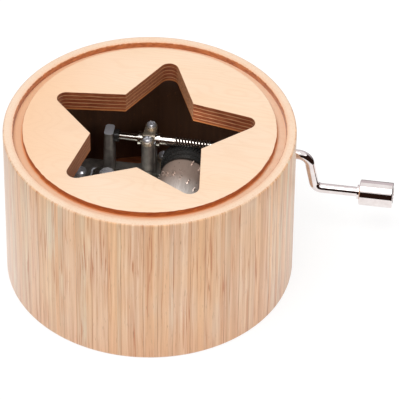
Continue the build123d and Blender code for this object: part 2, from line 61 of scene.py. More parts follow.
box_radius = tube_high.x
rim_z = tube_high.z
disc_radius = lid_high.x
lid_top = lid_high.z
lid_bottom = lid_low.z
glue_gap = 0.05
bore_radius = disc_radius + glue_gap
shaft_y = (shaft_low.y + shaft_high.y) / 2
shaft_z = (shaft_low.z + shaft_high.z) / 2
wall_hole_radius = 2.2
worm_from = 3.0
worm_to = 12.6
worm_crest_radius = 1.23

drum_x = (cap_low.x + cap_high.x) / 2
drum_z = (cap_low.z + cap_high.z) / 2
drum_radius = 6.45
drum_oil_width = 1.1
drum_oil_from = drum_rear - drum_oil_width

rim_round = 0.5
foot_round = 0.45
bore_round = 0.4
groove_width = 2.4
groove_depth = 1.67
island_radius = bore_radius - groove_width
island_round = 0.25
star_edge_round = 0.14
star_tips = 5
star_margin = 2.4
star_to_front = 0.5
star_tip_radius = island_radius - star_margin
star_notch_radius = 15.15
star_corner_round = 2.4
lid_turn = -2.75
ply_count = 5
ply_thickness = (lid_top - lid_bottom) / ply_count
groove_floor = lid_top - groove_depth

circle_steps = 360
round_steps = 5
tip_steps = 10
edge_steps = 24
screw_steps = 64


# ------------------------------------------------------------------ mesh tools
def rounded(centre_r, centre_z, radius, start, end, steps=round_steps):
    """Points of a quarter round in a lathe profile, from one angle to another in degrees."""
    points = []
    for k in range(steps + 1):
        angle = math.radians(start + (end - start) * k / steps)
        points.append((centre_r + radius * math.cos(angle), centre_z + radius * math.sin(angle)))
    return points


def ragged(angle, reach, fineness, seed):
    """Small unevenness along a cut edge: reach in millimetres, fineness in waves per millimetre."""
    turn = box_radius * fineness
    spot = Vector((math.cos(angle) * turn, math.sin(angle) * turn, seed))
    return reach * (noise.noise(spot) + 0.5 * noise.noise(spot * 2.3))


def ring_of(bm, outline, z):
    """One closed row of vertices at a height, from (x, y) points."""
    return [bm.verts.new((x * MM, y * MM, z * MM)) for x, y in outline]


def bridge(bm, lower, upper, smooth=True):
    """Quads between two rows of the same length."""
    count = len(lower)
    for k in range(count):
        face = bm.faces.new((lower[k], lower[(k + 1) % count], upper[(k + 1) % count], upper[k]))
        face.smooth = smooth


def add_to_scene(name, data):
    """New object with its data, linked into the scene."""
    made = bpy.data.objects.new(name, data)
    bpy.context.scene.collection.objects.link(made)
    return made


def mesh_of(bm, name):
    """Mesh made from a bmesh, which is freed."""
    mesh = bpy.data.meshes.new(name)
    bm.to_mesh(mesh)
    bm.free()
    return mesh


def circle(radius, steps):
    """Points of a whole circle."""
    angles = (2 * math.pi * k / steps for k in range(steps))
    return [(radius * math.cos(angle), radius * math.sin(angle)) for angle in angles]


def piece_from(bm, name, body, material, sharp_angle=35):
    """Turns a bmesh into a named piece that rides on a body and carries a material."""
    bmesh.ops.recalc_face_normals(bm, faces=bm.faces)
    mesh = mesh_of(bm, name)
    mesh.set_sharp_from_angle(angle=math.radians(sharp_angle))
    piece = add_to_scene(name, mesh)
    mesh.materials.append(material)
    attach(piece, body)
    return piece


def cut_round_hole(piece, radius, line_y, line_z, start_x, end_x):
    """Bores a hole along X through a piece, before it rides on anything."""
    bpy.ops.mesh.primitive_cylinder_add(
        vertices=64,
        radius=radius * MM,
        depth=(end_x - start_x) * MM,
        location=((start_x + end_x) / 2 * MM, line_y * MM, line_z * MM),
        rotation=(0, math.pi / 2, 0),
    )
    borer = bpy.context.object
    bore = piece.modifiers.new("wall_hole", "BOOLEAN")
    bore.object = borer
    bore.operation = "DIFFERENCE"
    bore.solver = "EXACT"
    view = bpy.context.evaluated_depsgraph_get()
    bored = bpy.data.meshes.new_from_object(piece.evaluated_get(view))
    piece.modifiers.clear()
    piece.data = bored
    bpy.data.objects.remove(borer)


# ------------------------------------------------------------------ node tools
def place(tree, kind, feeds=None, **settings):
    """Adds a node with its settings, and feeds its inputs with values or with other nodes' outputs."""
    made = tree.nodes.new(kind)
    for key, value in settings.items():
        setattr(made, key, value)
    for key, value in (feeds or {}).items():
        if isinstance(value, bpy.types.NodeSocket):
            tree.links.new(value, made.inputs[key])
        else:
            made.inputs[key].default_value = value
    return made


def calc(tree, operation, first, second=0.0, third=0.0, clamp=False):
    """One Math node's result."""
    feeds = {0: first, 1: second, 2: third}
    return place(tree, "ShaderNodeMath", feeds, operation=operation, use_clamp=clamp).outputs[0]


def times(tree, first, second):
    """Product of two values."""
    return calc(tree, "MULTIPLY", first, second)


def from_axis(tree, first, second):
    """Distance from an axis, from the two offsets square to it."""
    return calc(tree, "SQRT", calc(tree, "ADD", times(tree, first, first), times(tree, second, second)))


def span(tree, value, low, high, to_low=0.0, to_high=1.0):
    """Value's range low..high spread over to_low..to_high, held inside it."""
    feeds = {"Value": value, "From Min": low, "From Max": high, "To Min": to_low, "To Max": to_high}
    return place(tree, "ShaderNodeMapRange", feeds, clamp=True).outputs["Result"]


def band(tree, value, centre, width):
    """1 where value is within width of centre, fading to 0 at twice that."""
    away = calc(tree, "ABSOLUTE", calc(tree, "SUBTRACT", value, centre))
    return span(tree, away, width * 2, width)


def blend(tree, share, first, second, how="MIX"):
    """Two colours mixed by a share."""
    return place(
        tree, "ShaderNodeMix", {0: share, 6: first, 7: second}, data_type="RGBA", blend_type=how, clamp_factor=True
    ).outputs[2]


def ramp(tree, value, stops):
    """Colours along a value: stops are (position, colour)."""
    made = place(tree, "ShaderNodeValToRGB", {0: value})
    line = made.color_ramp
    while len(line.elements) < len(stops):
        line.elements.new(0.5)
    for element, (position, colour) in zip(line.elements, stops):
        element.position = position
        element.color = colour
    return made.outputs["Color"]


def grit(tree, vector, scale, detail=2.0, roughness=0.5):
    """Noise between 0 and 1 at a scale."""
    feeds = {"Vector": vector, "Scale": scale, "Detail": detail, "Roughness": roughness}
    return place(tree, "ShaderNodeTexNoise", feeds, noise_dimensions="3D").outputs["Fac"]


def point(tree, x=0.0, y=0.0, z=0.0):
    """A vector from three values."""
    return place(tree, "ShaderNodeCombineXYZ", {0: x, 1: y, 2: z}).outputs[0]


def parts_of(tree, vector):
    """The three values of a vector."""
    return place(tree, "ShaderNodeSeparateXYZ", {0: vector}).outputs


def stretched(tree, vector, x, y, z):
    """A vector with each of its values multiplied."""
    return place(tree, "ShaderNodeVectorMath", {0: vector, 1: (x, y, z)}, operation="MULTIPLY").outputs[0]


def rgb(red, green, blue):
    """Colour as seen on a screen, 0 to 255, turned into the shader's linear colour."""

    def linear(value):
        share = value / 255
        return share / 12.92 if share <= 0.04045 else ((share + 0.055) / 1.055) ** 2.4

    return (linear(red), linear(green), linear(blue), 1.0)


def new_group(name, inputs, outputs):
    """Empty shader node group: inputs are (name, kind, value), outputs are (name, kind)."""
    tree = bpy.data.node_groups.new(name, "ShaderNodeTree")
    for socket, kind, value in inputs:
        made = tree.interface.new_socket(name=socket, in_out="INPUT", socket_type="NodeSocket" + kind)
        made.default_value = value
    for socket, kind in outputs:
        tree.interface.new_socket(name=socket, in_out="OUTPUT", socket_type="NodeSocket" + kind)
    return tree, tree.nodes.new("NodeGroupInput").outputs, tree.nodes.new("NodeGroupOutput").inputs


def use_group(tree, group, feeds):
    """Places a group in a material and feeds its inputs."""
    return place(tree, "ShaderNodeGroup", feeds, node_tree=group)


def new_material(name):
    """Material with a Principled shader: gives the material, its tree, its shader and its place in millimetres."""
    material = bpy.data.materials.new(name)
    material.use_nodes = True
    tree = material.node_tree
    shader = tree.nodes["Principled BSDF"]
    spot = place(tree, "ShaderNodeTexCoord").outputs["Object"]
    in_mm = place(tree, "ShaderNodeVectorMath", {0: spot, 3: 1 / MM}, operation="SCALE").outputs[0]
    return material, tree, shader, in_mm


def feed(tree, shader, **sockets):
    """Feeds a shader's sockets: the names are written with _ for a space."""
    for key, value in sockets.items():
        socket = shader.inputs[key.replace("_", " ")]
        if isinstance(value, bpy.types.NodeSocket):
            tree.links.new(value, socket)
        else:
            socket.default_value = value


def put_out(tree, out, values):
    """Links a group's results to its named outputs."""
    for name, value in values.items():
        tree.links.new(value, out[name])


def raised(tree, height, strength, distance):
    """Normal of a surface whose height changes: distance in millimetres."""
    feeds = {"Height": height, "Strength": strength, "Distance": distance * MM}
    return place(tree, "ShaderNodeBump", feeds).outputs["Normal"]


# ------------------------------------------------------------------ shared effects
def make_strip_group():
    """Bamboo strips glued side by side: tone of each strip, glue lines, fibres, orange veins and dark dashes."""
    tree, given, out = new_group(
        "bamboo_strips",
        [("Arc", "Float", 0.0), ("Height", "Float", 0.0), ("Strip Width", "Float", 4.2)],
        [
            ("Tone", "Float"),
            ("Second Tone", "Float"),
            ("Glue Line", "Float"),
            ("Fibre", "Float"),
            ("Vein", "Float"),
            ("Dash", "Float"),
        ],
    )

    def streaks(start, fineness, seed, along, detail=2.0, roughness=0.5):
        """Noise stretched up the tube: fineness round it and along it in waves per millimetre."""
        spot = point(tree, times(tree, start, fineness), seed, times(tree, given["Height"], along))
        return grit(tree, spot, 1.0, detail, roughness)

    def cells(scale, randomness, feature="F1"):
        """Cells of uneven width round the tube."""
        feeds = {"W": in_strips, "Scale": scale, "Randomness": randomness}
        return place(tree, "ShaderNodeTexVoronoi", feeds, voronoi_dimensions="1D", feature=feature).outputs

    sway = calc(tree, "MULTIPLY_ADD", streaks(given["Arc"], 0.05, 0.0, 0.03), 1.2, -0.6)
    arc = calc(tree, "ADD", given["Arc"], sway)
    in_strips = calc(tree, "DIVIDE", arc, given["Strip Width"])
    tone = parts_of(tree, cells(1.0, 0.9)["Color"])[0]
    second = parts_of(tree, cells(2.6, 1.0)["Color"])[1]
    away = times(tree, cells(1.0, 0.9, "DISTANCE_TO_EDGE")["Distance"], given["Strip Width"])
    fade = span(tree, streaks(arc, 0.9, 3.0, 0.05), 0.35, 0.62)
    glue = times(tree, span(tree, away, 0.16, 0.05), calc(tree, "MULTIPLY_ADD", fade, 0.75, 0.25))
    fibre = streaks(arc, 0.85, 7.0, 0.02, 5.0, 0.64)
    vein_field = streaks(arc, 1.15, 11.0, 0.016, 1.0)
    vein_part = span(tree, streaks(arc, 0.5, 17.0, 0.045), 0.42, 0.6)
    veins = calc(tree, "MAXIMUM", band(tree, vein_field, 0.5, 0.014), band(tree, vein_field, 0.38, 0.012))
    vein = times(tree, veins, vein_part)
    dash = span(tree, streaks(arc, 5.2, 23.0, 0.3, 1.0), 0.67, 0.75)
    put_out(
        tree, out, {"Tone": tone, "Second Tone": second, "Glue Line": glue, "Fibre": fibre, "Vein": vein, "Dash": dash}
    )
    return tree


def make_grain_group():
    """Flat-sawn grain that runs along X: broad figure, fine lines and short pores."""
    tree, given, out = new_group(
        "veneer_grain",
        [("Place", "Vector", (0.0, 0.0, 0.0)), ("Stretch", "Float", 0.08)],
        [("Figure", "Float"), ("Line", "Float"), ("Pore", "Float"), ("Cloud", "Float")],
    )
    x, y, z = parts_of(tree, given["Place"])
    along = times(tree, x, given["Stretch"])
    figure_field = grit(tree, point(tree, times(tree, along, 0.5), times(tree, y, 0.11), z), 1.0, 1.0)
    rings = calc(tree, "SINE", times(tree, figure_field, 95.0))
    figure = span(tree, rings, 0.2, 1.0)
    line = grit(tree, point(tree, along, times(tree, y, 2.6), z), 1.0, 4.0, 0.6)
    pore_field = grit(tree, point(tree, times(tree, along, 4.0), times(tree, y, 6.5), z), 1.0, 1.0)
    pore = span(tree, pore_field, 0.68, 0.76)
    cloud = grit(tree, stretched(tree, given["Place"], 0.022, 0.05, 1.0), 1.0, 2.0)
    put_out(tree, out, {"Figure": figure, "Line": line, "Pore": pore, "Cloud": cloud})
    return tree


def make_metal_group():
    """Handled metal: smudges, and fine scratches along X."""
    tree, given, out = new_group(
        "handled_metal",
        [("Place", "Vector", (0.0, 0.0, 0.0)), ("Scratch Stretch", "Float", 0.15)],
        [("Smudge", "Float"), ("Scratch", "Float")],
    )
    x, y, z = parts_of(tree, given["Place"])
    smudge = grit(tree, given["Place"], 0.55, 3.0, 0.6)
    along = times(tree, x, given["Scratch Stretch"])
    scratch = grit(tree, point(tree, along, times(tree, y, 9.0), times(tree, z, 9.0)), 1.0, 3.0, 0.65)
    put_out(tree, out, {"Smudge": smudge, "Scratch": scratch})
    return tree


strip_group = make_strip_group()
grain_group = make_grain_group()
metal_group = make_metal_group()


# ------------------------------------------------------------------ wood materials
def bamboo_material():
    """Turned bamboo tube: glued strips outside, pale rim, bore darkened below the lid with painted shade, and browned
    edge of the groove.
    """
    material, tree, shader, spot = new_material("bamboo_tube_wood")
    x, y, z = parts_of(tree, spot)
    radius = from_axis(tree, x, y)
    arc = times(tree, calc(tree, "ARCTAN2", y, x), box_radius)
    strips = use_group(tree, strip_group, {"Arc": arc, "Height": z, "Strip Width": 4.2})
    tone = calc(tree, "MULTIPLY_ADD", strips.outputs["Second Tone"], 0.4, times(tree, strips.outputs["Tone"], 0.6))
    strip_colour = ramp(
        tree,
        tone,
        [
            (0.12, rgb(232, 212, 182)),
            (0.3, rgb(246, 196, 150)),
            (0.45, rgb(238, 208, 178)),
            (0.6, rgb(230, 180, 140)),
            (0.78, rgb(248, 214, 182)),
            (0.92, rgb(224, 190, 158)),
        ],
    )
    drift = grit(tree, point(tree, times(tree, arc, 0.12), 31.0, times(tree, z, 0.05)), 1.0, 2.0)
    warm = blend(tree, span(tree, drift, 0.38, 0.62, 0.0, 0.55), strip_colour, rgb(242, 190, 138))
    low_warm = blend(tree, span(tree, z, 14.0, 0.0, 0.0, 0.3), warm, rgb(230, 170, 126))
    fibred = blend(tree, span(tree, strips.outputs["Fibre"], 0.42, 0.66, 0.0, 0.65), low_warm, rgb(208, 156, 116))
    pale = blend(tree, span(tree, strips.outputs["Fibre"], 0.42, 0.28, 0.0, 0.5), fibred, rgb(255, 226, 198))
    veined = blend(tree, times(tree, strips.outputs["Vein"], 0.8), pale, rgb(198, 120, 70))
    glued = blend(tree, times(tree, strips.outputs["Glue Line"], 0.85), veined, rgb(184, 120, 80))
    side = blend(tree, times(tree, strips.outputs["Dash"], 0.6), glued, rgb(146, 100, 68))
    speck = span(tree, grit(tree, spot, 3.2, 2.0), 0.52, 0.72, 0.0, 0.5)
    rim_base = blend(tree, times(tree, tone, 0.35), rgb(246, 216, 188), rgb(240, 200, 164))
    rim = blend(tree, speck, rim_base, rgb(226, 176, 136))
    above_edge = span(tree, z, rim_z - rim_round, rim_z - rim_round * 0.3)
    on_top = times(tree, above_edge, span(tree, radius, box_radius - 0.25, box_radius - rim_round))
    topped = blend(tree, on_top, side, rim)
    burn_edge = grit(tree, spot, 1.3, 4.0, 0.75)
    inside = span(tree, calc(tree, "ADD", radius, times(tree, burn_edge, 0.7)), bore_radius + 0.58, bore_radius + 0.44)
    warm_edge = span(tree, radius, bore_radius + 1.1, bore_radius + 0.2, 0.0, 0.6)
    topped = blend(tree, warm_edge, topped, rgb(240, 182, 138))
    soot = grit(tree, stretched(tree, spot, 0.5, 0.5, 1.8), 1.0, 3.0)
    burnt = ramp(tree, soot, [(0.3, rgb(172, 88, 36)), (0.7, rgb(222, 140, 78))])
    groove_coloured = blend(tree, inside, topped, burnt)
    # painted shade: below the lid the bore gets a dark brown in place of the bamboo's own colour, for the shade inside
    # the box
    below_lid = span(tree, z, lid_bottom + 0.4, lid_bottom - 0.4)
    bore_painted_shade = ramp(tree, strips.outputs["Fibre"], [(0.3, rgb(84, 50, 28)), (0.7, rgb(104, 66, 38))])
    whole = blend(tree, times(tree, below_lid, inside), groove_coloured, bore_painted_shade)
    lit_left = times(tree, span(tree, x, -30.0, -37.0, 0.0, 0.35), calc(tree, "SUBTRACT", 1.0, inside))
    whole = blend(tree, lit_left, whole, rgb(250, 222, 198))
    relief = calc(tree, "SUBTRACT", times(tree, strips.outputs["Fibre"], 0.6), strips.outputs["Glue Line"])
    gloss = span(tree, strips.outputs["Fibre"], 0.3, 0.7, 0.36, 0.5)
    feed(tree, shader, Base_Color=whole, Roughness=gloss, Normal=raised(tree, relief, 0.35, 0.05))
    shader.inputs["Coat Weight"].default_value = 0.2
    shader.inputs["Coat Roughness"].default_value = 0.25
    shader.inputs["Sheen Weight"].default_value = 0.3
    shader.inputs["Sheen Roughness"].default_value = 0.5
    return material


def lid_material():
    """Pale ply with a sanded face and laser-browned cut edges that show the layers."""
    material, tree, shader, spot = new_material("ply_lid_wood")
    turn_back = {"Vector": spot, "Angle": math.radians(-lid_turn)}
    turned = place(tree, "ShaderNodeVectorRotate", turn_back, rotation_type="Z_AXIS").outputs[0]
    x, y, z = parts_of(tree, turned)
    radius = from_axis(tree, x, y)
    grain = use_group(tree, grain_group, {"Place": point(tree, x, y, 2.0), "Stretch": 0.07})
    face = blend(tree, span(tree, grain.outputs["Cloud"], 0.35, 0.65), rgb(248, 214, 180), rgb(250, 221, 193))
    face = blend(tree, span(tree, x, -34.0, -8.0, 0.9, 0.0), face, rgb(245, 199, 157))
    face = blend(tree, times(tree, grain.outputs["Figure"], 0.16), face, rgb(236, 190, 150))
    face = blend(tree, span(tree, grain.outputs["Line"], 0.45, 0.8, 0.0, 0.35), face, rgb(238, 196, 158))
    face = blend(tree, times(tree, grain.outputs["Pore"], 0.16), face, rgb(190, 140, 104))
    layer = calc(tree, "DIVIDE", calc(tree, "SUBTRACT", z, lid_bottom), ply_thickness)
    waver = calc(tree, "MULTIPLY_ADD", grit(tree, stretched(tree, turned, 0.3, 0.3, 0.0), 1.0, 2.0), 0.16, -0.08)
    in_layer = calc(tree, "FRACT", calc(tree, "ADD", layer, waver))
    seam = calc(tree, "MAXIMUM", span(tree, in_layer, 0.16, 0.05), span(tree, in_layer, 0.86, 0.96))
    soot = grit(tree, stretched(tree, turned, 0.35, 0.35, 2.2), 1.0, 4.0, 0.65)
    burnt = ramp(tree, soot, [(0.3, rgb(112, 52, 28)), (0.5, rgb(146, 76, 44)), (0.72, rgb(176, 104, 66))])
    pale_seam = blend(tree, span(tree, soot, 0.35, 0.65), rgb(206, 146, 100), rgb(232, 180, 134))
    walls = blend(tree, times(tree, seam, 0.85), burnt, pale_seam)
    facing = parts_of(tree, place(tree, "ShaderNodeNewGeometry").outputs["Normal"])
    faces_left = span(tree, facing[0], -0.6, -0.9, 0.0, 0.75)
    faces_right = span(tree, facing[0], 0.6, 0.9, 0.0, 0.3)
    across = calc(tree, "MAXIMUM", faces_left, faces_right)
    end_grain = ramp(tree, grit(tree, turned, 2.4, 3.0, 0.6), [(0.36, rgb(140, 86, 54)), (0.64, rgb(226, 168, 124))])
    walls = blend(tree, across, walls, end_grain)
    lowest = span(tree, z, lid_bottom + 0.75, lid_bottom + 0.35)
    walls = blend(tree, times(tree, lowest, 0.75), walls, rgb(214, 136, 78))
    cut = ramp(tree, soot, [(0.3, rgb(150, 64, 20)), (0.55, rgb(182, 92, 36)), (0.75, rgb(212, 124, 60))])
    cut = blend(tree, span(tree, z, groove_floor + 0.75, groove_floor + 0.1, 0.0, 0.7), cut, rgb(220, 136, 70))
    in_groove = span(tree, radius, island_radius - 0.5, island_radius - 0.3)
    walls = blend(tree, in_groove, walls, cut)
    up = span(tree, facing[2], 0.55, 0.85)
    high = span(tree, z, lid_top - 0.35, lid_top - 0.2)
    # groove floor more orange and darker towards the island's wall: partly browning from the cut, partly painted shade
    # in the groove
    by_island = span(tree, radius, island_radius + 0.55, island_radius + 0.1, 0.25, 0.85)
    trough = blend(tree, by_island, face, rgb(224, 150, 96))
    # painted shade: the lid's downward faces, inside the box, are darkened to brown
    shaded_underside = span(tree, times(tree, facing[2], -1.0), 0.5, 0.8)
    walls = blend(tree, shaded_underside, walls, rgb(92, 62, 42))
    flats = blend(tree, times(tree, in_groove, calc(tree, "SUBTRACT", 1.0, high)), face, trough)
    whole = blend(tree, times(tree, up, calc(tree, "MAXIMUM", high, in_groove)), walls, flats)
    relief = calc(tree, "ADD", times(tree, grain.outputs["Line"], 0.4), times(tree, in_layer, 0.3))
    gloss = span(tree, grain.outputs["Line"], 0.3, 0.7, 0.42, 0.52)
    feed(tree, shader, Base_Color=whole, Roughness=gloss, Normal=raised(tree, relief, 0.18, 0.05))
    return material


def floor_material():
    """Reddish-brown ply floor inside, sanded underside."""
    material, tree, shader, spot = new_material("ply_floor_wood")
    x, y, z = parts_of(tree, spot)
    grain = use_group(tree, grain_group, {"Place": point(tree, x, y, 9.0), "Stretch": 0.07})
    inside = ramp(tree, grain.outputs["Line"], [(0.3, rgb(168, 88, 48)), (0.7, rgb(206, 122, 76))])
    outside = ramp(tree, grain.outputs["Line"], [(0.3, rgb(222, 182, 140)), (0.7, rgb(238, 204, 168))])
    low = span(tree, z, 0.4, 0.1)
    whole = blend(tree, low, inside, outside)
    whole = blend(tree, times(tree, grain.outputs["Figure"], 0.3), whole, rgb(140, 72, 40))
    feed(tree, shader, Base_Color=whole, Roughness=0.55, Normal=raised(tree, grain.outputs["Line"], 0.2, 0.05))
    return material


# ------------------------------------------------------------------ metal and plastic materials
def metal_material(name, bright, dull, rough_low, rough_high, stretch=0.15, relief=0.1, metallic=1.0):
    """Metal between two colours, with smudges and scratches in its gloss."""
    material, tree, shader, spot = new_material(name)
    wear = use_group(tree, metal_group, {"Place": spot, "Scratch Stretch": stretch})
    colour = blend(tree, span(tree, wear.outputs["Smudge"], 0.3, 0.7), bright, dull)
    worn = calc(tree, "MULTIPLY_ADD", wear.outputs["Scratch"], 0.5, times(tree, wear.outputs["Smudge"], 0.5))
    gloss = span(tree, worn, 0.3, 0.7, rough_low, rough_high)
    feed(tree, shader, Base_Color=colour, Metallic=metallic, Roughness=gloss)
    if relief:
        feed(tree, shader, Normal=raised(tree, wear.outputs["Scratch"], relief, 0.02))
    return material


def cast_material():
    """Dark die casting: grainy skin, and a painted highlight that turns its upward faces above 12 mm nearly white and
    less metallic.
    """
    material, tree, shader, spot = new_material("die_cast_metal")
    wear = use_group(tree, metal_group, {"Place": spot, "Scratch Stretch": 1.0})
    grain = grit(tree, spot, 5.0, 3.0, 0.6)
    skin = blend(tree, span(tree, wear.outputs["Smudge"], 0.35, 0.7), rgb(138, 132, 126), rgb(172, 164, 156))
    facing = parts_of(tree, place(tree, "ShaderNodeNewGeometry").outputs["Normal"])
    height = parts_of(tree, spot)[2]
    # painted highlight: upward faces of the posts and pillars above the bedplate get a near-white, less metallic colour
    painted_top_highlight = times(tree, span(tree, facing[2], 0.6, 0.95), span(tree, height, 12.0, 13.0))
    colour = blend(tree, painted_top_highlight, skin, rgb(238, 240, 248))
    feed(tree, shader, Base_Color=colour, Metallic=span(tree, painted_top_highlight, 0.0, 1.0, 0.45, 0.05))
    gloss = span(tree, wear.outputs["Smudge"], 0.3, 0.7, 0.3, 0.45)
    feed(tree, shader, Roughness=gloss, Normal=raised(tree, grain, 0.12, 0.03))
    return material


def shaft_material():
    """Nickel plated shaft, with painted shade that darkens and dulls the roots of the worm's thread."""
    material, tree, shader, spot = new_material("nickel_shaft")
    x, y, z = parts_of(tree, spot)
    off_y, off_z = calc(tree, "SUBTRACT", y, shaft_y), calc(tree, "SUBTRACT", z, shaft_z)
    depth = from_axis(tree, off_y, off_z)
    wear = use_group(tree, metal_group, {"Place": spot, "Scratch Stretch": 8.0})
    plated = blend(tree, span(tree, wear.outputs["Smudge"], 0.3, 0.7), rgb(244, 238, 230), rgb(220, 212, 202))
    on_worm = times(tree, span(tree, x, worm_from, worm_from + 0.4), span(tree, x, worm_to, worm_to - 0.4))
    # painted shade: the roots of the worm's thread are darkened and dulled
    thread_root_shade = times(tree, on_worm, span(tree, depth, worm_crest_radius - 0.1, worm_crest_radius - 0.26))
    colour = blend(tree, thread_root_shade, plated, rgb(64, 48, 40))
    feed(tree, shader, Base_Color=colour, Metallic=span(tree, thread_root_shade, 0.0, 1.0, 1.0, 0.2))
    feed(tree, shader, Roughness=span(tree, calc(tree, "ADD", wear.outputs["Scratch"], thread_root_shade), 0.3, 1.4, 0.1, 0.55))
    feed(tree, shader, Normal=raised(tree, wear.outputs["Scratch"], 0.06, 0.02))
    return material


def drum_material():
    """Satin plated cylinder, turned round its arbor, with painted light that makes it lighter towards the front and
    duller towards the wheel, then oil-dark beside the wheel, with bright pins.
    """
    material, tree, shader, spot = new_material("satin_drum")
    x, y, z = parts_of(tree, spot)
    off_x, off_z = calc(tree, "SUBTRACT", x, drum_x), calc(tree, "SUBTRACT", z, drum_z)
    radius = from_axis(tree, off_x, off_z)
    pin = span(tree, radius, drum_radius + 0.02, drum_radius + 0.08)
    wear = use_group(tree, metal_group, {"Place": spot, "Scratch Stretch": 6.0})
    # painted light: the cylinder's colour is lighter towards the front, where the window's light falls, and darker
    # towards the wheel
    colour = blend(tree, span(tree, y, 11.0, 5.0), rgb(190, 166, 152), rgb(255, 246, 238))
    lines = grit(tree, stretched(tree, spot, 5.5, 0.4, 0.4), 1.0, 3.0, 0.6)
    colour = blend(tree, span(tree, lines, 0.42, 0.7, 0.0, 0.4), colour, rgb(170, 146, 132))
    oiled = span(tree, y, drum_oil_from, drum_oil_from + 0.5)
    colour = blend(tree, oiled, colour, rgb(52, 46, 42))
    colour = blend(tree, pin, colour, rgb(255, 246, 240))
    feed(tree, shader, Base_Color=colour, Metallic=span(tree, pin, 0.0, 1.0, 0.4, 1.0))
    gloss = span(tree, wear.outputs["Smudge"], 0.3, 0.7, 0.26, 0.36)
    feed(tree, shader, Roughness=gloss, Normal=raised(tree, lines, 0.15, 0.02))
    return material


def plastic_material():
    """Black moulded plastic with a soft sheen and a faint moulding grain."""
    material, tree, shader, spot = new_material("black_moulding")
    grain = grit(tree, spot, 3.0, 3.0, 0.6)
    colour = blend(tree, span(tree, grain, 0.3, 0.7), rgb(50, 49, 48), rgb(66, 64, 62))
    gloss = span(tree, grain, 0.3, 0.7, 0.18, 0.3)
    feed(tree, shader, Base_Color=colour, Roughness=gloss, Normal=raised(tree, grain, 0.05, 0.02))
    return material


MATERIALS = {
    "bamboo_tube": bamboo_material(),
    "ply_floor": floor_material(),
    "ply_lid": lid_material(),
    "cast_metal": cast_material(),
    "screw_steel": metal_material("plated_screw", rgb(244, 244, 248), rgb(222, 222, 228), 0.22, 0.36, metallic=0.6),
    "strap_steel": metal_material("plated_strip", rgb(232, 218, 198), rgb(190, 172, 148), 0.22, 0.36, metallic=0.75),
    "comb_steel": metal_material("ground_comb", rgb(206, 208, 200), rgb(176, 178, 170), 0.22, 0.36, 0.05, 0.15),
    "lead_weight": metal_material("dull_lead", rgb(120, 120, 126), rgb(96, 96, 102), 0.45, 0.6),
    "black_plastic": plastic_material(),
    "shaft_steel": shaft_material(),
    "crank_chrome": metal_material("polished_crank", rgb(240, 232, 230), rgb(228, 218, 216), 0.03, 0.08, 0.15, 0.0),
    "drum_metal": drum_material(),
}


# ------------------------------------------------------------------ bamboo tube
def build_tube():
    """Turned tube with rounded rims, an uneven inner edge and the hole for the crank."""
    profile = [(bore_radius, 0.0)]
    profile += [(box_radius - foot_round, 0.0)]
    profile += rounded(box_radius - foot_round, foot_round, foot_round, -90, 0)[1:]
    profile += [(box_radius, rim_z / 2)]
    profile += rounded(box_radius - rim_round, rim_z - rim_round, rim_round, 0, 90)
    profile += rounded(bore_radius + bore_round, rim_z - bore_round, bore_round, 90, 180)
    profile += [(bore_radius, rim_z - 2.2)]
    profile += [(bore_radius, rim_z / 2)]
    bm = bmesh.new()
    rows = []
    for r, z in profile:
        outline = []
        for k in range(circle_steps):
            angle = 2 * math.pi * k / circle_steps
            inner_edge = r < bore_radius + bore_round * 1.5 and z > rim_z - 2 * bore_round
            spread = ragged(angle, 0.09, 0.55, 4.0) if inner_edge else 0.0
            outline.append(((r + spread) * math.cos(angle), (r + spread) * math.sin(angle)))
        rows.append(ring_of(bm, outline, z))
    for k, row in enumerate(rows):
        bridge(bm, row, rows[(k + 1) % len(rows)])
    tube = piece_from(bm, "turned_tube", "box", MATERIALS["bamboo_tube"])
    cut_round_hole(tube, wall_hole_radius, shaft_y, shaft_z, 0.0, box_radius)
    tube.data.set_sharp_from_angle(angle=math.radians(35))
    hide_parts("body_tube")


# ------------------------------------------------------------------ lid
def star_outline(grow):
    """Outline of the star window, its edges moved outwards by grow millimetres."""
    half = math.pi / star_tips
    away = edge_distance()
    scale = (away + grow) / away
    corners = []
    for k in range(2 * star_tips):
        radius = (star_tip_radius if k % 2 == 0 else star_notch_radius) * scale
        angle = math.radians(90 + lid_turn) + k * half
        corners.append(Vector((radius * math.cos(angle), radius * math.sin(angle) - star_to_front)))
    points = []
    for k in range(0, len(corners), 2):
        notch_before, tip, notch_after = corners[k - 1], corners[k], corners[k + 1]
        arc = rounded_corner(notch_before, tip, notch_after, star_corner_round + grow)
        points += along_edge(notch_before, arc[0])
        points += arc
        points += along_edge(arc[-1], notch_after)[1:]
    return [(p.x, p.y) for p in points]


def along_edge(start, end, steps=edge_steps):
    """Points of a straight edge without its end."""
    return [start.lerp(end, k / steps) for k in range(steps)]


def rounded_corner(before, corner, after, radius):
    """Arc that rounds a corner between its two neighbours."""
    back = (before - corner).normalized()
    ahead = (after - corner).normalized()
    half = back.angle(ahead) / 2
    reach = radius / math.tan(half)
    centre = corner + (back + ahead).normalized() * radius / math.sin(half)
    start = corner + back * reach - centre
    end = corner + ahead * reach - centre
    turn = start.angle_signed(end)
    return [centre + Matrix.Rotation(-turn * k / tip_steps, 2) @ start for k in range(tip_steps + 1)]


def edge_distance():
    """How far the star's edges lie from its centre."""
    half = math.pi / star_tips
    notch = Vector((star_notch_radius * math.cos(half), star_notch_radius * math.sin(half)))
    lean = math.atan2(notch.y, star_tip_radius - notch.x)
    return star_tip_radius * math.sin(lean)


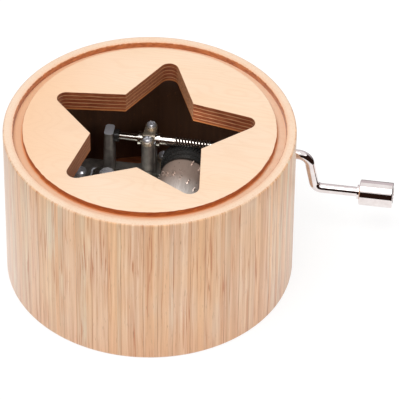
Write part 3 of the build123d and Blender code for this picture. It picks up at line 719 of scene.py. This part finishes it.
def build_lid():
    """Ply disc with a groove round its edge and the star window cut through it."""
    angles = [math.atan2(y, x) for x, y in star_outline(0.0)]

    def round_row(radius, z, reach=0.0):
        """Row of the disc's own outline, at the same angles as the star's points, with an uneven edge."""
        reaches = [radius + ragged(angle, reach, 0.6, 9.0) for angle in angles]
        return ring_of(bm, [(r * math.cos(a), r * math.sin(a)) for r, a in zip(reaches, angles)], z)

    bm = bmesh.new()
    rows = [
        ring_of(bm, star_outline(0.1), lid_bottom),
        round_row(disc_radius, lid_bottom),
        round_row(disc_radius, groove_floor),
        round_row(island_radius + 0.12, groove_floor),
        round_row(island_radius, groove_floor + 0.12, 0.04),
    ]
    for radius, z in rounded(island_radius - island_round, lid_top - island_round, island_round, 0, 90):
        rows.append(round_row(radius, z, 0.09))
    island_edge = len(rows) - 1
    for inset, z in rounded(0.0, lid_top - star_edge_round, star_edge_round, 0, 90, 3)[::-1]:
        rows.append(ring_of(bm, star_outline(star_edge_round - inset), z))
    for k in range(1, ply_count):
        rows.append(ring_of(bm, star_outline(0.0), lid_top - k * ply_thickness))
    rows.append(ring_of(bm, star_outline(0.0), lid_bottom + 0.1))
    for k, row in enumerate(rows):
        flat = k in (0, island_edge)
        bridge(bm, row, rows[(k + 1) % len(rows)], smooth=not flat)
    lid = piece_from(bm, "star_lid", "box", MATERIALS["ply_lid"], 40)
    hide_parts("lid")


# ------------------------------------------------------------------ movement's small parts
def build_strap_screws():
    """Two domed screws with a cross recess that hold the strap over the shaft."""
    low, high = (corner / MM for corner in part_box("strap_screws"))
    head_radius = (high.x - low.x) / 2
    centre_x = (low.x + high.x) / 2
    head_bottom = high.z - 1.0
    bm = bmesh.new()
    for centre_y in (low.y + head_radius, high.y - head_radius):
        rings = []
        for r, z in ((0.75, low.z), (0.75, head_bottom), (head_radius, head_bottom), (head_radius, head_bottom + 0.45)):
            rings.append(screw_ring(bm, centre_x, centre_y, r, z, 0.0))
        for k in range(1, 13):
            r = head_radius * (1 - k / 12.5)
            dome = head_bottom + 0.45 + 0.55 * math.sqrt(max(0.0, 1 - (r / head_radius) ** 2))
            rings.append(screw_ring(bm, centre_x, centre_y, r, dome, 0.5))
        for lower, upper in zip(rings, rings[1:]):
            bridge(bm, lower, upper)
        bm.faces.new(rings[-1])
        bm.faces.new(rings[0])
    screws = piece_from(bm, "domed_strap_screws", "box", MATERIALS["screw_steel"], 50)
    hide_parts("strap_screws")


def screw_ring(bm, centre_x, centre_y, radius, z, recess):
    """One row of a screw head: sinks by the recess's depth where it crosses the cross."""
    points = []
    for k in range(screw_steps):
        angle = 2 * math.pi * k / screw_steps
        x, y = radius * math.cos(angle), radius * math.sin(angle)
        turned = math.radians(25)
        along, across = x * math.cos(turned) + y * math.sin(turned), y * math.cos(turned) - x * math.sin(turned)
        reach = max(0.0, min(1.0, (0.85 - radius) / 0.1))
        arm = max(0.0, min(1.0, (0.2 - min(abs(along), abs(across))) / 0.08))
        points.append(bm.verts.new(((centre_x + x) * MM, (centre_y + y) * MM, (z - recess * reach * arm) * MM)))
    return points


# ------------------------------------------------------------------ stage: floor, surround, lamps, camera
def build_stage():
    """Pale floor, and a surround that only mirrors see: dark in front and on the right, pale behind."""
    floor_sink = 0.02
    bm = bmesh.new()
    rows = [ring_of(bm, circle(r, 64), 0.0) for r in (60.0, 400.0, 4000.0)]
    for lower, upper in zip(rows, rows[1:]):
        bridge(bm, lower, upper, False)
    bm.faces.new(rows[0])
    for vert in bm.verts:
        vert.co.z = -floor_sink * MM
    bmesh.ops.recalc_face_normals(bm, faces=bm.faces)
    if bm.faces[:][0].normal.z < 0:
        bmesh.ops.reverse_faces(bm, faces=bm.faces)
    floor = add_to_scene("studio_floor", mesh_of(bm, "studio_floor"))
    floor.data.materials.append(studio_floor_material())

    surround_radius = 900.0
    dark_from = 88.0
    dark_to = 41.0
    wall_top = surround_radius * math.tan(math.radians(dark_to))
    levels = ((dark_from, 0.3), (dark_from + 60.0, 0.3), (surround_radius, 0.4), (surround_radius, wall_top))
    bm = bmesh.new()
    rows = [ring_of(bm, circle(r, 96), z) for r, z in levels]
    for lower, upper in zip(rows, rows[1:]):
        bridge(bm, lower, upper, False)
    surround = add_to_scene("dark_surround", mesh_of(bm, "dark_surround"))
    surround.data.materials.append(surround_material())
    surround.visible_camera = False
    surround.visible_diffuse = False
    surround.visible_shadow = False
    surround.visible_transmission = False


def studio_floor_material():
    """Pale floor that mirrors and the camera see as white, and that keeps a faint shadow."""
    material = bpy.data.materials.new("pale_floor")
    material.use_nodes = True
    tree = material.node_tree
    tree.nodes.clear()
    path = place(tree, "ShaderNodeLightPath")
    seen = calc(tree, "MAXIMUM", path.outputs["Is Camera Ray"], path.outputs["Is Glossy Ray"])
    lit = place(tree, "ShaderNodeBsdfDiffuse", {"Color": (0.8, 0.8, 0.8, 1.0)})
    faint = place(tree, "ShaderNodeBsdfDiffuse", {"Color": (0.24, 0.24, 0.24, 1.0)})
    glow = place(tree, "ShaderNodeEmission", {"Color": (1.0, 1.0, 1.0, 1.0), "Strength": 0.8})
    both = place(tree, "ShaderNodeAddShader", {0: faint.outputs[0], 1: glow.outputs[0]})
    pick = place(tree, "ShaderNodeMixShader", {0: seen, 1: lit.outputs[0], 2: both.outputs[0]})
    place(tree, "ShaderNodeOutputMaterial", {"Surface": pick.outputs[0]})
    return material


def surround_material():
    """Nearly black in front and on the right, pale grey behind."""
    material = bpy.data.materials.new("surround_dark")
    material.use_nodes = True
    tree = material.node_tree
    tree.nodes.clear()
    spot = place(tree, "ShaderNodeTexCoord").outputs["Object"]
    x, y, z = parts_of(tree, spot)
    share = span(tree, calc(tree, "SUBTRACT", y, times(tree, x, 0.3)), 0.05, 0.6)
    tone = blend(tree, share, rgb(40, 24, 18), rgb(216, 208, 212))
    glow = place(tree, "ShaderNodeEmission", {"Color": tone, "Strength": 1.0})
    place(tree, "ShaderNodeOutputMaterial", {"Surface": glow.outputs[0]})
    return material


def build_light(window_glow=2.9):
    """White sky that lights weaker than the camera sees it, two soft suns, and a lamp for the light in the window."""
    world = bpy.data.worlds.new("studio_sky")
    bpy.context.scene.world = world
    world.use_nodes = True
    tree = world.node_tree
    tree.nodes.clear()
    path = place(tree, "ShaderNodeLightPath")
    seen = calc(tree, "MAXIMUM", path.outputs["Is Camera Ray"], path.outputs["Is Glossy Ray"])
    seen = calc(tree, "MAXIMUM", seen, path.outputs["Is Transmission Ray"])
    soft = place(tree, "ShaderNodeBackground", {"Color": (1.0, 1.0, 1.0, 1.0), "Strength": 0.6})
    white = place(tree, "ShaderNodeBackground", {"Color": (1.0, 1.0, 1.0, 1.0), "Strength": 1.0})
    pick = place(tree, "ShaderNodeMixShader", {0: seen, 1: soft.outputs[0], 2: white.outputs[0]})
    place(tree, "ShaderNodeOutputWorld", {"Surface": pick.outputs[0]})

    soft_sun("upper_left_softbox", 1.42, 40, (-0.6, -0.4, 1.2), (0.2, 0.3, -1.0))
    soft_sun("right_fill", 0.4, 60, (0.9, -0.4, 0.6), (-0.9, 0.3, -0.4))

    reach = 9.0 * MM
    window = bpy.data.lights.new("window_skylight", "AREA")
    window.shape = "DISK"
    window.size = 2 * reach
    window.energy = window_glow * math.pi * math.pi * reach**2
    skylight = add_to_scene("window_skylight", window)
    skylight.location = (6.0 * MM, 0.5 * MM, (lid_top - 0.1) * MM)
    skylight.visible_camera = False


def soft_sun(name, energy, spread, location, direction):
    """Broad soft lamp: spread in degrees."""
    lamp = bpy.data.lights.new(name, "SUN")
    lamp.energy = energy
    lamp.angle = math.radians(spread)
    shining = add_to_scene(name, lamp)
    shining.location = location
    shining.rotation_mode = "QUATERNION"
    shining.rotation_quaternion = Vector(direction).to_track_quat("-Z", "Y")


def build_camera():
    """Camera at the photograph's angle, with a long lens."""
    data = bpy.data.cameras.new("product_camera")
    camera = add_to_scene("product_camera", data)
    bpy.context.scene.camera = camera
    turn, lift, roll = math.radians(8.23), math.radians(41.3), math.radians(0.74)
    back = Vector((math.sin(turn) * math.cos(lift), -math.cos(turn) * math.cos(lift), math.sin(lift)))
    right = Vector((math.cos(turn), math.sin(turn), 0.0))
    aim_height, shift_right, shift_down, distance = 22.0, 13.04, 0.722, 900.0
    aim = (Vector((0.0, 0.0, aim_height)) + right * shift_right - back.cross(right) * shift_down) * MM
    eye = aim + back * distance * MM
    data.sensor_width = 36.0
    data.lens = 312.4
    data.clip_start = 0.05
    data.clip_end = 20.0
    camera.location = eye
    camera.rotation_mode = "QUATERNION"
    camera.rotation_quaternion = (aim - eye).to_track_quat("-Z", "Y") @ Quaternion((0.0, 0.0, 1.0), roll)


# ------------------------------------------------------------------ put together
def dress_frame():
    """Gives each kept CAD part the material of its slot."""
    for entry in frame["record"]["subparts"]:
        part = nodes[entry["node"]]
        part.data.materials.clear()
        part.data.materials.append(MATERIALS[entry["material_slot"]])


dress_frame()
build_tube()
build_lid()
build_strap_screws()
build_stage()
build_light()
build_camera()

bpy.context.scene.view_settings.view_transform = "Standard"
